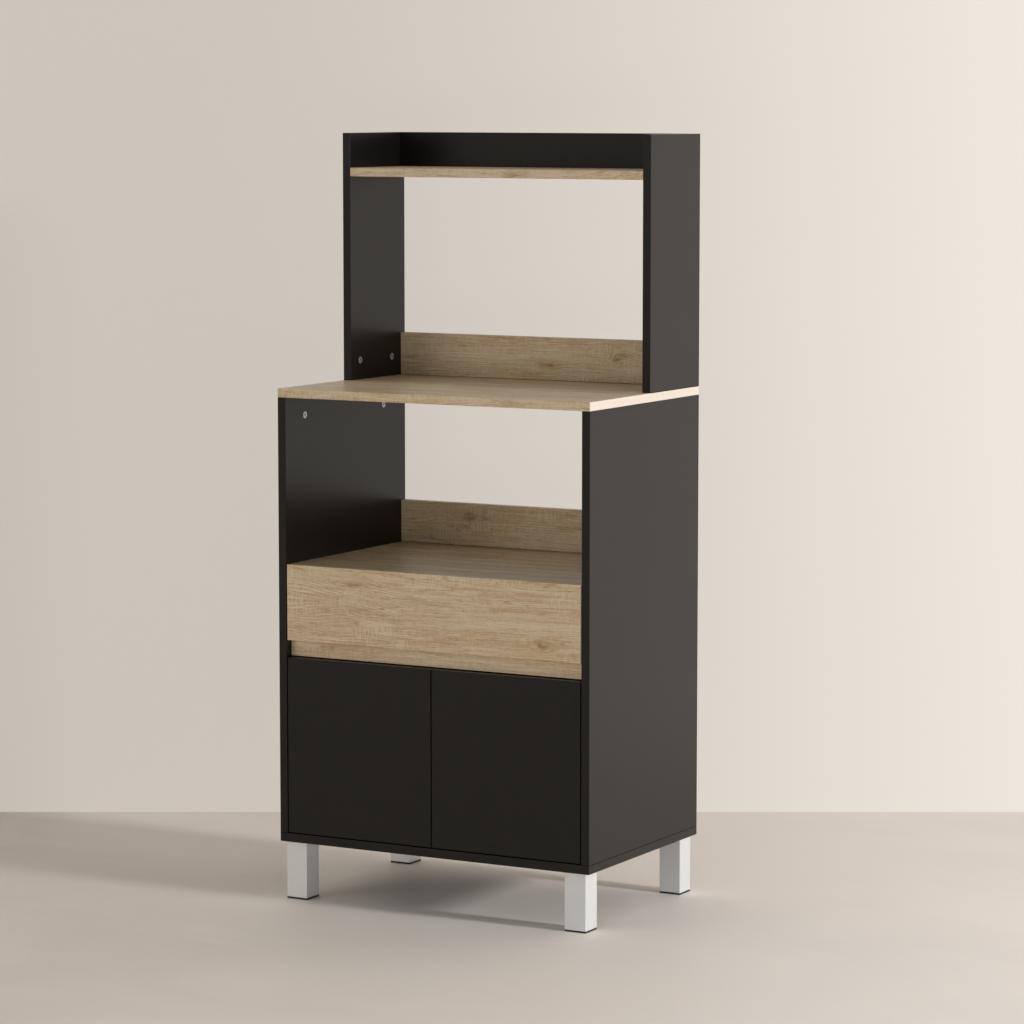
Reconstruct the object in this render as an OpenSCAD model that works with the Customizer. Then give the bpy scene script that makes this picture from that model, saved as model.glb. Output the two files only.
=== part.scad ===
// Microwave stand: a cupboard with two inset doors, one drawer, an open
// microwave bay, a worktop and an open hutch, on four square metal legs.
// Millimetres. +X is to the right, +Y to the rear and +Z up. The origin is on
// the floor, under the middle of the stand.

/* [Stand] */
// Width over the side panels
stand_w = 600; // [520:1:760]
// Depth from the door fronts to the rear edges
stand_d = 400; // [380:1:480]
// Full height above the floor
stand_h = 1310; // [1260:1:1500]
// Thickness of every chipboard panel
board = 15; // [15:0.5:18]

/* [Heights] */
// Height of the worktop's upper face above the floor
worktop_h = 880; // [860:1:960]
// Clear height of the microwave bay
bay_h = 285; // [240:1:305]
// Height of the drawer front
drawer_front_h = 130; // [120:1:160]
// Height of the finger recess between the drawer front and the doors
recess_h = 30; // [28:1:40]
// Height of the rails at the rear of the bay and the hutch
rail_h = 75; // [70:1:110]
// Clearance of the grip rail from the drawer front above and the doors below
grip_rail_gap = 1.5; // [1:0.5:2]

/* [Hutch] */
// Depth of the hutch's side panels
hutch_d = 185; // [165:1:240]
// How far the hutch shelf lies below the top edges
tray_depth = 60; // [30:1:100]

/* [Doors] */
// Gap round a door
door_gap = 2; // [1.5:0.5:3]
// Gap between a closed door or drawer front and what stops it
stop_gap = 0.5; // [0.3:0.1:1.5]
// Distance from a door's end to its hinge's centre line
hinge_from_end = 65; // [50:1:75]

/* [Drawer] */
// Gap at each end of the drawer front
drawer_gap = 1.5; // [1:0.5:3]
// Thickness of the drawer's sides and back
drawer_board = 12; // [12:0.5:15]
// Height of the drawer's sides
drawer_side_h = 85; // [80:1:98]
// Width of the gap that a runner fills
runner_gap = 12.5; // [12:0.5:14]
// Height of the runners' base above the drawer front's lower edge
runner_lift = 5; // [3:0.5:7]
// Free space between the drawer and the back panel
drawer_rear_gap = 25; // [10:1:60]
// Height of the drawer bottom's groove above the sides' lower edges
bottom_lift = 10; // [8:1:14]

/* [Thin panels] */
// Thickness of the back panel and the drawer bottom
thin_panel = 3; // [2.5:0.5:4]
// Distance from the rear edges to the back panel's rear face
back_setback = 7; // [6:1:12]
// Depth of the grooves for the thin panels
groove_depth = 7; // [5:0.5:8]
// Clearance of a thin panel in its groove
groove_gap = 0.4; // [0.2:0.1:0.8]

/* [Legs] */
// Width of a leg's square tube
leg_w = 40; // [36:1:50]
// Wall of the leg tube
leg_wall = 1.5; // [1:0.1:2]
// Height of the case's underside above the floor
leg_h = 100; // [80:1:120]
// Inset of the legs from the sides of the case
leg_inset_side = 9; // [0:1:20]
// Inset of the legs from the front and the rear of the case
leg_inset_front = 6; // [0:1:20]
// Thickness of the foot pads below the tubes
pad_h = 3; // [2:0.5:6]
// Height of the plugs inside the tubes
plug_h = 25; // [22:1:40]
// Diameter of the leg bolts
leg_bolt_d = 8; // [6:1:10]

/* [Cams and dowels] */
// Diameter of the cam locks
cam_d = 12; // [11:0.5:13]
// Distance from a panel's end to its cam locks' centres
cam_reach = 34; // [30:1:40]
// Diameter of the cam bolts' threads
cam_thread_d = 6; // [5:0.5:7]
// Diameter of the wooden dowels
dowel_d = 8; // [6:0.5:8]
// Length of the wooden dowels
dowel_l = 30; // [24:1:30]
// Distance from the front plane to the front row of case cams
cam_front = 64; // [58:1:80]
// Distance from the rear edges to the rear row of case cams
cam_rear = 74; // [70:1:90]
// Distance from the hutch's front edge to its front cams
hutch_cam_front = 32; // [28:1:44]
// Distance from the rear edges to the hutch's rear cams
hutch_cam_rear = 45; // [40:1:55]

/* [Runners] */
// Thickness of the runners' steel
runner_t = 1.2; // [1:0.1:1.5]
// Diameter of the runners' rollers
roller_d = 22; // [20:0.5:22]
// Width of the runners' rollers
roller_w = 6.4; // [5.5:0.1:6.5]
// Distance from the front plane to the front rollers' axis
front_roller_y = 36; // [34:1:45]
// Distance from the drawer's rear end to the rear rollers' axis
rear_roller_y = 15; // [13:1:30]
// Diameter of the rollers' rivets
rivet_d = 5; // [4:0.5:6]

/* [Hinges] */
// Diameter of the hinge cups
cup_d = 35; // [35:0.5:36]
// Depth of the hinge cups in the doors
cup_depth = 11.5; // [11.5:0.1:12]
// Distance from a door's edge to its cups' centres
cup_edge = 20.5; // [20:0.5:21.5]
// Diameter of the hinge pins
hinge_pin_d = 3; // [2.5:0.5:3]

/* [Hidden] */

$fn = 48;
black = [0.13, 0.13, 0.13];
oak = [0.62, 0.54, 0.44];
silver = [0.78, 0.78, 0.76];
plastic = [0.07, 0.07, 0.07];
zinc = [0.66, 0.65, 0.62];
beech = [0.82, 0.66, 0.45];
runner_paint = [0.85, 0.85, 0.83];
roller_white = [0.93, 0.93, 0.9];
fibreboard = [0.45, 0.34, 0.24];

// Left is -1 and right is +1
SIDES = [-1, 1];
// A cut runs this far past the face that it opens
past = 1;
// Clearance of screws, bolts, pins and dowels in their holes, all round
hole_gap = 0.05;
// Clearance round a cam lock and below it
cam_gap = 0.2;

// ---------------------------------------------------------------- heights
inner_w = stand_w - 2 * board;
case_floor = leg_h + board;
side_top = worktop_h - board;
shelf_top = side_top - bay_h;
shelf_under = shelf_top - board;
drawer_low = shelf_top - drawer_front_h;
door_top = drawer_low - recess_h;
door_low = case_floor + door_gap;
grip_rail_top = drawer_low - grip_rail_gap;
grip_rail_low = door_top + grip_rail_gap;
hutch_shelf_top = stand_h - tray_depth;
top_rail_low = hutch_shelf_top - board;

// ----------------------------------------- depths, from the front plane back
hutch_front = stand_d - hutch_d;
rail_front = stand_d - board;
set_back = board + stop_gap;
back_rear = stand_d - back_setback;
back_front = back_rear - thin_panel;
drawer_l = back_front - drawer_rear_gap - board;
drawer_rear = board + drawer_l;

// Row coordinate of a distance from the front plane
function from_front(d) = d - stand_d / 2;

// ------------------------------------------------------------ small helpers
// Places children with +X along toward and +Z along face
module aimed(pos, toward, face) {
    across = cross(face, toward);
    multmatrix([[toward.x, across.x, face.x, pos.x],
                [toward.y, across.y, face.y, pos.y],
                [toward.z, across.z, face.z, pos.z],
                [0, 0, 0, 1]]) children();
}

// Local frame of what is fixed to a side panel's inner face: +X points from
// the panel into the case, +Y runs back from the front plane
module from_side(side, z) {
    translate([side * inner_w / 2, from_front(0), z])
        if (side > 0) mirror([1, 0, 0]) children();
        else children();
}

// Box between two corners; Y is given from the front plane
module block(x0, x1, y0, y1, z0, z1)
    translate([x0, from_front(y0), z0]) cube([x1 - x0, y1 - y0, z1 - z0]);

// Straight bar with round ends in the plane
module bar_outline(a, b, half_w) {
    run = b - a;
    translate(a) circle(r = half_w);
    translate(b) circle(r = half_w);
    translate(a) rotate(atan2(run.y, run.x)) translate([0, -half_w]) square([norm(run), 2 * half_w]);
}

// Two crossed grooves of a screw's drive, cut into a head at z = 0
module cross_recess(width, depth)
    for (turn = [0, 90]) rotate(turn)
        translate([-width / 2, -width / 8, -depth]) cube([width, width / 4, depth + past]);

// ---------------------------------------------------------------- fasteners
screw_d = 3.5;
screw_head_d = 7;
screw_head_h = 1.8;
screw_point = 2.5;
screw_tip_d = 0.6;
screw_recess_w = 3.85;
screw_recess = 1;

// Countersunk screw: top of the head at z = 0, point towards -Z
module flat_screw(l) color(zinc) difference() {
    union() {
        translate([0, 0, -screw_head_h]) cylinder(h = screw_head_h, d1 = screw_d, d2 = screw_head_d);
        translate([0, 0, -l + screw_point]) cylinder(h = l - screw_point - screw_head_h, d = screw_d);
        translate([0, 0, -l]) cylinder(h = screw_point, d1 = screw_tip_d, d2 = screw_d);
    }
    cross_recess(screw_recess_w, screw_recess);
}

// Hole for that screw, with its countersink
module flat_screw_hole(l) {
    translate([0, 0, -screw_head_h])
        cylinder(h = screw_head_h, d1 = screw_d + 2 * hole_gap, d2 = screw_head_d + 2 * hole_gap);
    cylinder(h = past, d = screw_head_d + 2 * hole_gap);
    translate([0, 0, -l - hole_gap]) cylinder(h = l, d = screw_d + 2 * hole_gap);
}

// A cam joint's frame: the cam's axis is Z, its open face is at half the
// board's thickness, and the bolt runs along +X into the next panel
cam_floor = 4.4;
bolt_head_d = 6.8;
bolt_head_l = 3.2;
bolt_neck_d = 3.4;
bolt_shank_d = 6;
bolt_bore_d = 7;
bolt_seat_gap = 0.25;
cam_bolt_depth = 10.5;
cam_bolt_tip = 1;
cam_bolt_taper = 1.5;
shank_from = cam_d / 2 + 1;
cam_slot_w = 7;
cam_slot_depth = 1.6;

module cam_lock(thick) color(zinc) difference() {
    translate([0, 0, -cam_floor]) cylinder(h = cam_floor + thick / 2 - cam_gap, d = cam_d);
    rotate([0, 90, 0]) cylinder(h = bolt_head_l + 2 * bolt_seat_gap, d = bolt_head_d + 2 * bolt_seat_gap,
                                center = true);
    rotate([0, 90, 0]) cylinder(h = cam_d, d = bolt_neck_d + 2 * bolt_seat_gap);
    translate([0, 0, thick / 2 - cam_gap]) cross_recess(cam_slot_w, cam_slot_depth);
}

module cam_bolt() color(zinc) rotate([0, 90, 0]) {
    translate([0, 0, -bolt_head_l / 2]) cylinder(h = bolt_head_l, d = bolt_head_d);
    cylinder(h = shank_from, d = bolt_neck_d);
    translate([0, 0, shank_from]) cylinder(h = cam_reach - shank_from, d = bolt_shank_d);
    translate([0, 0, cam_reach]) cylinder(h = cam_bolt_depth - cam_bolt_tip, d = cam_thread_d);
    translate([0, 0, cam_reach + cam_bolt_depth - cam_bolt_tip])
        cylinder(h = cam_bolt_tip, d1 = cam_thread_d, d2 = cam_thread_d - cam_bolt_taper);
}

// What a cam joint takes out of the panel that holds the cam
module cam_cut(thick) {
    translate([0, 0, -cam_floor - cam_gap])
        cylinder(h = cam_floor + cam_gap + thick / 2 + past, d = cam_d + 2 * cam_gap);
    rotate([0, 90, 0]) cylinder(h = cam_reach + past, d = bolt_bore_d);
}

// What it takes out of the panel that holds the bolt's thread
module thread_cut()
    translate([cam_reach - past, 0, 0]) rotate([0, 90, 0])
        cylinder(h = cam_bolt_depth + past + cam_gap, d = cam_thread_d + 2 * hole_gap);

// A dowel's frame: it crosses the joint at the origin and runs along X
dowel_in_face = 9.5;
dowel_chamfer = 1;
dowel_end_gap = 0.5;

module dowel() color(beech) rotate([0, 90, 0]) translate([0, 0, dowel_in_face - dowel_l]) {
    cylinder(h = dowel_chamfer, d1 = dowel_d - 2 * dowel_chamfer, d2 = dowel_d);
    translate([0, 0, dowel_chamfer]) cylinder(h = dowel_l - 2 * dowel_chamfer, d = dowel_d);
    translate([0, 0, dowel_l - dowel_chamfer])
        cylinder(h = dowel_chamfer, d1 = dowel_d, d2 = dowel_d - 2 * dowel_chamfer);
}

module dowel_cut()
    translate([dowel_in_face - dowel_l - dowel_end_gap, 0, 0]) rotate([0, 90, 0])
        cylinder(h = dowel_l + 2 * dowel_end_gap, d = dowel_d + 2 * hole_gap);

// --------------------------------------------- where cams and dowels sit
// Each entry is [place, direction of the bolt, side that the cam is seen from]
side_mid = stand_w / 2 - board / 2;
dowel_pitch = 46;
case_rows = [cam_front, stand_d - cam_rear];
rail_dowel_rise = 20;
shelf_row_inset = 60;
shelf_rows = [set_back + shelf_row_inset, rail_front - shelf_row_inset];
hutch_rows = [hutch_front + hutch_cam_front, stand_d - hutch_cam_rear];
hutch_shelf_rows = [hutch_front + hutch_cam_front, rail_front - hutch_cam_front];

function cam_at(x, depth, z, toward, face) = [[x, from_front(depth), z], toward, face];

function end_cams(depths, z, face) =
    [for (s = SIDES, d = depths) cam_at(s * (inner_w / 2 - cam_reach), d, z, [s, 0, 0], face)];

side_cams = [for (s = SIDES, d = case_rows, up = SIDES)
    cam_at(s * side_mid, d, up > 0 ? side_top - cam_reach : case_floor + cam_reach,
           [0, 0, up], [-s, 0, 0])];
shelf_cams = end_cams(shelf_rows, shelf_top - board / 2, [0, 0, -1]);
bay_rail_cams = end_cams([rail_front + board / 2], shelf_top + rail_h / 2, [0, 1, 0]);
grip_cam_inset = 8.5;
grip_dowel_inset = 6.5;
grip_rail_cams = end_cams([set_back + board / 2], grip_rail_top - grip_cam_inset, [0, 1, 0]);
hutch_side_cams = [for (s = SIDES, d = hutch_rows)
    cam_at(s * side_mid, d, worktop_h + cam_reach, [0, 0, -1], [-s, 0, 0])];
hutch_shelf_cams = end_cams(hutch_shelf_rows, hutch_shelf_top - board / 2, [0, 0, -1]);
top_rail_mid = (top_rail_low + stand_h) / 2;
top_rail_cams = end_cams([rail_front + board / 2], top_rail_mid, [0, 1, 0]);
hutch_rail_cams = end_cams([rail_front + board / 2], worktop_h + rail_h / 2, [0, 1, 0]);

// Each entry is [place on the joint, direction into the panel's face]
function end_dowels(depths, z_list) =
    [for (s = SIDES, d = depths, z = z_list) [[s * inner_w / 2, from_front(d), z], [s, 0, 0]]];
function rail_dowels(depth, z) = end_dowels([depth], [z - rail_dowel_rise, z + rail_dowel_rise]);

side_dowels = [for (s = SIDES, d = case_rows, up = SIDES)
    [[s * side_mid, from_front(d < stand_d / 2 ? d + dowel_pitch : d - dowel_pitch),
      up > 0 ? side_top : case_floor], [0, 0, up]]];
shelf_dowels = end_dowels([shelf_rows[0] + dowel_pitch, shelf_rows[1] - dowel_pitch],
                          [shelf_top - board / 2]);
bay_rail_dowels = rail_dowels(rail_front + board / 2, shelf_top + rail_h / 2);
grip_rail_dowels = end_dowels([set_back + board / 2], [grip_rail_low + grip_dowel_inset]);
hutch_side_dowels = [for (s = SIDES)
    [[s * side_mid, from_front((hutch_rows[0] + hutch_rows[1]) / 2), worktop_h], [0, 0, -1]]];
hutch_shelf_dowels = end_dowels([(hutch_shelf_rows[0] + hutch_shelf_rows[1]) / 2],
                                [hutch_shelf_top - board / 2]);
top_rail_dowels = rail_dowels(rail_front + board / 2, top_rail_mid);
hutch_rail_dowels = rail_dowels(rail_front + board / 2, worktop_h + rail_h / 2);

module at_cams(cams) for (c = cams) aimed(c[0], c[1], c[2]) children();

module at_dowels(dowels) for (d = dowels)
    aimed(d[0], d[1], abs(d[1].z) > 0.5 ? [0, 1, 0] : [0, 0, 1]) children();

// ------------------------------------------------------------------ panels
module side_panel(side) color(black) difference() {
    block(side > 0 ? inner_w / 2 : -stand_w / 2, side > 0 ? stand_w / 2 : -inner_w / 2,
          0, stand_d, case_floor, side_top);
    at_cams(side_cams) cam_cut(board);
    at_cams(concat(shelf_cams, bay_rail_cams, grip_rail_cams)) thread_cut();
    at_dowels(concat(side_dowels, shelf_dowels, bay_rail_dowels, grip_rail_dowels)) dowel_cut();
    back_groove();
    for (y = case_runner_screws_y) from_side(side, runner_z) case_runner_screw_place(y)
        flat_screw_hole(runner_screw_l);
    for (z = hinge_heights) from_side(side, z) at_plate_screws() flat_screw_hole(plate_screw_l);
}

// Groove for the back panel, cut from the case's inner faces outwards
module back_groove()
    block(-inner_w / 2 - groove_depth, inner_w / 2 + groove_depth,
          back_front - groove_gap / 2, back_rear + groove_gap / 2,
          case_floor - groove_depth, shelf_under + groove_depth);

module bottom_panel() color(black) difference() {
    block(-stand_w / 2, stand_w / 2, 0, stand_d, leg_h, case_floor);
    at_cams(side_cams) thread_cut();
    at_dowels(side_dowels) dowel_cut();
    back_groove();
    at_legs() {
        cylinder(h = case_floor + past, d = leg_bolt_d + 2 * cam_gap);
        translate([0, 0, case_floor - leg_bolt_sink])
            cylinder(h = leg_bolt_sink + past, d = leg_bolt_head_d + 2 * cam_gap);
    }
}

module worktop() color(oak) difference() {
    block(-stand_w / 2, stand_w / 2, 0, stand_d, side_top, worktop_h);
    at_cams(concat(side_cams, hutch_side_cams)) thread_cut();
    at_dowels(concat(side_dowels, hutch_side_dowels)) dowel_cut();
}

module microwave_shelf() color(oak) difference() {
    block(-inner_w / 2, inner_w / 2, set_back, stand_d, shelf_under, shelf_top);
    at_cams(shelf_cams) cam_cut(board);
    at_dowels(shelf_dowels) dowel_cut();
    back_groove();
}

// Rail between two side panels, with a cam and its dowels at each end
module rail(front, low, high, cams, dowels) difference() {
    block(-inner_w / 2, inner_w / 2, front, front + board, low, high);
    at_cams(cams) cam_cut(board);
    at_dowels(dowels) dowel_cut();
}

module microwave_rear_rail() color(oak)
    rail(rail_front, shelf_top, shelf_top + rail_h, bay_rail_cams, bay_rail_dowels);

module grip_rail() color(oak)
    rail(set_back, grip_rail_low, grip_rail_top, grip_rail_cams, grip_rail_dowels);

module back_panel() {
    edge = groove_depth - groove_gap;
    color(fibreboard) block(-inner_w / 2 - edge, inner_w / 2 + edge, back_front, back_rear,
                            case_floor - edge, shelf_under + edge);
}

module hutch_side(side) color(black) difference() {
    block(side > 0 ? inner_w / 2 : -stand_w / 2, side > 0 ? stand_w / 2 : -inner_w / 2,
          hutch_front, stand_d, worktop_h, stand_h);
    at_cams(hutch_side_cams) cam_cut(board);
    at_cams(concat(hutch_shelf_cams, top_rail_cams, hutch_rail_cams)) thread_cut();
    at_dowels(concat(hutch_side_dowels, hutch_shelf_dowels, top_rail_dowels, hutch_rail_dowels))
        dowel_cut();
}

module hutch_shelf() color(oak) difference() {
    block(-inner_w / 2, inner_w / 2, hutch_front, rail_front, hutch_shelf_top - board, hutch_shelf_top);
    at_cams(hutch_shelf_cams) cam_cut(board);
    at_dowels(hutch_shelf_dowels) dowel_cut();
}

module hutch_top_rail() color(black)
    rail(rail_front, top_rail_low, stand_h, top_rail_cams, top_rail_dowels);

module hutch_rear_rail() color(oak)
    rail(rail_front, worktop_h, worktop_h + rail_h, hutch_rail_cams, hutch_rail_dowels);

module case_cam_locks() {
    at_cams(concat(side_cams, shelf_cams, bay_rail_cams, grip_rail_cams)) cam_lock(board);
}
module case_cam_bolts() {
    at_cams(concat(side_cams, shelf_cams, bay_rail_cams, grip_rail_cams)) cam_bolt();
}
module case_dowels() {
    at_dowels(concat(side_dowels, shelf_dowels, bay_rail_dowels, grip_rail_dowels)) dowel();
}
module hutch_cam_locks() {
    at_cams(concat(hutch_side_cams, hutch_shelf_cams, top_rail_cams, hutch_rail_cams)) cam_lock(board);
}
module hutch_cam_bolts() {
    at_cams(concat(hutch_side_cams, hutch_shelf_cams, top_rail_cams, hutch_rail_cams)) cam_bolt();
}
module hutch_dowels() {
    at_dowels(concat(hutch_side_dowels, hutch_shelf_dowels, top_rail_dowels, hutch_rail_dowels)) dowel();
}

// -------------------------------------------------------------------- legs
leg_x = stand_w / 2 - leg_inset_side - leg_w / 2;
leg_y = leg_inset_front + leg_w / 2;
leg_plug_w = leg_w - 2 * leg_wall - 2 * hole_gap;
leg_bolt_head_d = 16;
leg_bolt_head_h = 4.4;
leg_bolt_sink = 5;
leg_bolt_key = 5;
leg_bolt_skin = 1;
pad_plug_h = 16;
pad_plug_wall = 3;

module at_leg(side, end)
    translate([side * leg_x, from_front(end > 0 ? stand_d - leg_y : leg_y), 0]) children();
module at_legs() for (side = SIDES, end = SIDES) at_leg(side, end) children();

module square_block(w, z0, z1) translate([-w / 2, -w / 2, z0]) cube([w, w, z1 - z0]);

module leg(side, end) color(silver) at_leg(side, end) difference() {
    square_block(leg_w, pad_h, leg_h);
    square_block(leg_w - 2 * leg_wall, pad_h - past, leg_h + past);
}

// Threaded plug in the top of each leg
module leg_plugs() color(plastic) at_legs() difference() {
    square_block(leg_plug_w, leg_h - plug_h, leg_h);
    translate([0, 0, leg_h - plug_h - past]) cylinder(h = plug_h + 2 * past, d = leg_bolt_d + 2 * hole_gap);
}

// Bolt sunk in the cupboard's floor, down into each leg
module leg_bolts() {
    seat = case_floor - leg_bolt_sink;
    color(zinc) at_legs() difference() {
        union() {
            translate([0, 0, seat]) cylinder(h = leg_bolt_head_h / 2, d = leg_bolt_head_d);
            translate([0, 0, seat + leg_bolt_head_h / 2])
                cylinder(h = leg_bolt_head_h / 2, d1 = leg_bolt_head_d,
                         d2 = leg_bolt_head_d - leg_bolt_head_h);
            translate([0, 0, leg_h - plug_h + leg_bolt_skin])
                cylinder(h = seat - leg_h + plug_h - leg_bolt_skin, d = leg_bolt_d);
        }
        translate([0, 0, seat + leg_bolt_skin])
            cylinder(h = leg_bolt_head_h, d = leg_bolt_key * 2 / sqrt(3), $fn = 6);
    }
}

// Black pad under each leg, with a hollow plug in the tube
module foot_pads() color(plastic) at_legs() {
    square_block(leg_w, 0, pad_h);
    difference() {
        square_block(leg_plug_w, pad_h, pad_h + pad_plug_h);
        square_block(leg_plug_w - 2 * pad_plug_wall, pad_h, pad_h + pad_plug_h + past);
    }
}

// ----------------------------------------------------------------- runners
// Local frame: from_side at the runners' base
runner_z = drawer_low + runner_lift;
case_runner_setback = 4;
runner_front = board + case_runner_setback;
runner_l = drawer_l;
runner_flange_w = 9.6;
roller_lift = 0.3;
roller_z = runner_t + roller_lift + roller_d / 2;
rear_roller_at = drawer_rear - rear_roller_y;
front_roller_x = 2;
rear_roller_x = 2.7;
rivet_head_d = 8;
rivet_head_h = 0.8;
side_play = 0.2;
running_gap = 0.08;
track_z = roller_z + roller_d / 2 + roller_lift;
track_gap = 1.4;
runner_h = track_z + 2 * runner_t + track_gap;
track_x = 2.5;
tray_drop = 4;
tray_w = 10;
track_front_gap = 2;
track_rear_gap = 3;
roller_chamfer = 1;
runner_screw_l = 10;
case_screw_proud = 0.4;
case_screw_front = 45;
case_screw_rear = 20;
case_runner_screws_y = [runner_front + case_screw_front, runner_front + runner_l / 2,
                        runner_front + runner_l - case_screw_rear];
case_screw_z = runner_h / 2;
drawer_screw_front = 45;
drawer_screw_rear = 60;
drawer_screws_y = [board + drawer_screw_front, drawer_rear - drawer_screw_rear];

module case_runner_screw_place(y)
    translate([runner_t + case_screw_proud, y, case_screw_z]) rotate([0, 90, 0]) children();

module case_runner() color(runner_paint) difference() {
    union() {
        translate([0, runner_front, 0]) cube([runner_t, runner_l, runner_h]);
        for (z = [0, runner_h - runner_t]) translate([0, runner_front, z])
            cube([runner_flange_w, runner_l, runner_t]);
    }
    translate([-past, front_roller_y, roller_z]) rotate([0, 90, 0])
        cylinder(h = runner_t + 2 * past, d = rivet_d + 2 * hole_gap);
    for (y = case_runner_screws_y) case_runner_screw_place(y) flat_screw_hole(runner_screw_l);
}

module case_runner_left() from_side(-1, runner_z) case_runner();
module case_runner_right() from_side(1, runner_z) case_runner();

module case_runner_screws()
    for (side = SIDES, y = case_runner_screws_y) from_side(side, runner_z)
        case_runner_screw_place(y) flat_screw(runner_screw_l);

// Rivet that carries a roller: shank from x0 to x1, head beyond x1
module rivet(x0, x1, y, flip) color(zinc) translate([0, y, roller_z]) rotate([0, 90, 0]) {
    translate([0, 0, x0]) cylinder(h = x1 - x0, d = rivet_d);
    translate([0, 0, flip ? x0 : x1 - rivet_head_h]) cylinder(h = rivet_head_h, d = rivet_head_d);
}

module front_roller_rivets() for (side = SIDES) from_side(side, runner_z)
    rivet(0, front_roller_x + roller_w + side_play + rivet_head_h, front_roller_y, false);

module rear_roller_rivets() for (side = SIDES) from_side(side, runner_z)
    rivet(rear_roller_x - side_play - rivet_head_h, runner_gap, rear_roller_at, true);

module roller(x, y) color(roller_white) translate([x, y, roller_z]) rotate([0, 90, 0]) difference() {
    union() {
        cylinder(h = roller_chamfer, d1 = roller_d - 2 * roller_chamfer, d2 = roller_d);
        translate([0, 0, roller_chamfer]) cylinder(h = roller_w - 2 * roller_chamfer, d = roller_d);
        translate([0, 0, roller_w - roller_chamfer])
            cylinder(h = roller_chamfer, d1 = roller_d, d2 = roller_d - 2 * roller_chamfer);
    }
    translate([0, 0, -past]) cylinder(h = roller_w + 2 * past, d = rivet_d + 2 * running_gap);
}

module front_rollers() for (side = SIDES) from_side(side, runner_z) roller(front_roller_x, front_roller_y);
module rear_rollers() for (side = SIDES) from_side(side, runner_z) roller(rear_roller_x, rear_roller_at);

// Runner on the drawer: a track over the front roller, a web along the
// drawer's side and a flange under its edge
module drawer_runner() color(runner_paint) {
    web_x = runner_gap - runner_t;
    track_end = rear_roller_at - roller_d / 2 - track_rear_gap;
    difference() {
        union() {
            translate([web_x, board, tray_drop]) cube([runner_t, drawer_l, track_z + runner_t - tray_drop]);
            translate([track_x, board + track_front_gap, track_z])
                cube([web_x - track_x + runner_t / 2, track_end - board - track_front_gap, runner_t]);
            translate([web_x, board, tray_drop]) cube([tray_w + runner_t, drawer_l, runner_t]);
        }
        translate([web_x - past, rear_roller_at, roller_z]) rotate([0, 90, 0])
            cylinder(h = runner_t + 2 * past, d = rivet_d + 2 * hole_gap);
        for (y = drawer_screws_y) drawer_runner_screw_place(y) flat_screw_hole(runner_screw_l);
    }
}

module drawer_runner_screw_place(y)
    translate([runner_gap + drawer_board / 2, y, tray_drop - case_screw_proud]) rotate([180, 0, 0])
        children();

module drawer_runner_left() from_side(-1, runner_z) drawer_runner();
module drawer_runner_right() from_side(1, runner_z) drawer_runner();

module drawer_runner_screws()
    for (side = SIDES, y = drawer_screws_y) from_side(side, runner_z)
        drawer_runner_screw_place(y) flat_screw(runner_screw_l);

// ------------------------------------------------------------------ drawer
drawer_out_w = inner_w - 2 * runner_gap;
drawer_in_w = drawer_out_w - 2 * drawer_board;
drawer_side_low = runner_z + tray_drop + runner_t;
drawer_side_top = drawer_side_low + drawer_side_h;
drawer_side_mid = (drawer_side_low + drawer_side_top) / 2;
drawer_bottom_z = drawer_side_low + bottom_lift;
drawer_groove_depth = 6;
drawer_back_front = drawer_rear - drawer_board;
drawer_cam_rise = 17;

drawer_front_cams = [for (s = SIDES, up = SIDES)
    cam_at(s * (drawer_out_w - drawer_board) / 2, board + cam_reach,
           drawer_side_mid + up * drawer_cam_rise + bottom_lift, [0, -1, 0], [-s, 0, 0])];
drawer_back_cams = [for (s = SIDES)
    cam_at(s * (drawer_in_w / 2 - cam_reach), drawer_rear - drawer_board / 2,
           drawer_side_mid, [s, 0, 0], [0, 1, 0])];
drawer_front_dowels = [for (s = SIDES)
    [[s * (drawer_out_w - drawer_board) / 2, from_front(board), drawer_side_mid + bottom_lift], [0, -1, 0]]];
drawer_back_dowels = [for (s = SIDES, up = SIDES)
    [[s * drawer_in_w / 2, from_front(drawer_rear - drawer_board / 2),
      drawer_side_mid + up * rail_dowel_rise], [s, 0, 0]]];

module drawer_bottom_groove()
    block(-drawer_in_w / 2 - drawer_groove_depth, drawer_in_w / 2 + drawer_groove_depth,
          board - drawer_groove_depth, drawer_back_front + drawer_groove_depth,
          drawer_bottom_z - groove_gap / 2, drawer_bottom_z + thin_panel + groove_gap / 2);

module drawer_front() color(oak) difference() {
    block(-inner_w / 2 + drawer_gap, inner_w / 2 - drawer_gap, 0, board, drawer_low, shelf_top);
    at_cams(drawer_front_cams) thread_cut();
    at_dowels(drawer_front_dowels) dowel_cut();
    drawer_bottom_groove();
}

module drawer_side(side) color(black) difference() {
    block(side > 0 ? drawer_in_w / 2 : -drawer_out_w / 2, side > 0 ? drawer_out_w / 2 : -drawer_in_w / 2,
          board, drawer_rear, drawer_side_low, drawer_side_top);
    at_cams(drawer_front_cams) cam_cut(drawer_board);
    at_cams(drawer_back_cams) thread_cut();
    at_dowels(concat(drawer_front_dowels, drawer_back_dowels)) dowel_cut();
    drawer_bottom_groove();
    for (y = drawer_screws_y) from_side(side, runner_z)
        drawer_runner_screw_place(y) flat_screw_hole(runner_screw_l);
}

module drawer_back() color(black) difference() {
    block(-drawer_in_w / 2, drawer_in_w / 2, drawer_back_front, drawer_rear,
          drawer_side_low, drawer_side_top);
    at_cams(drawer_back_cams) cam_cut(drawer_board);
    at_dowels(drawer_back_dowels) dowel_cut();
    drawer_bottom_groove();
}

module drawer_bottom() {
    edge = drawer_groove_depth - groove_gap;
    color(black) block(-drawer_in_w / 2 - edge, drawer_in_w / 2 + edge, board - edge,
                       drawer_back_front + edge, drawer_bottom_z, drawer_bottom_z + thin_panel);
}

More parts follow.
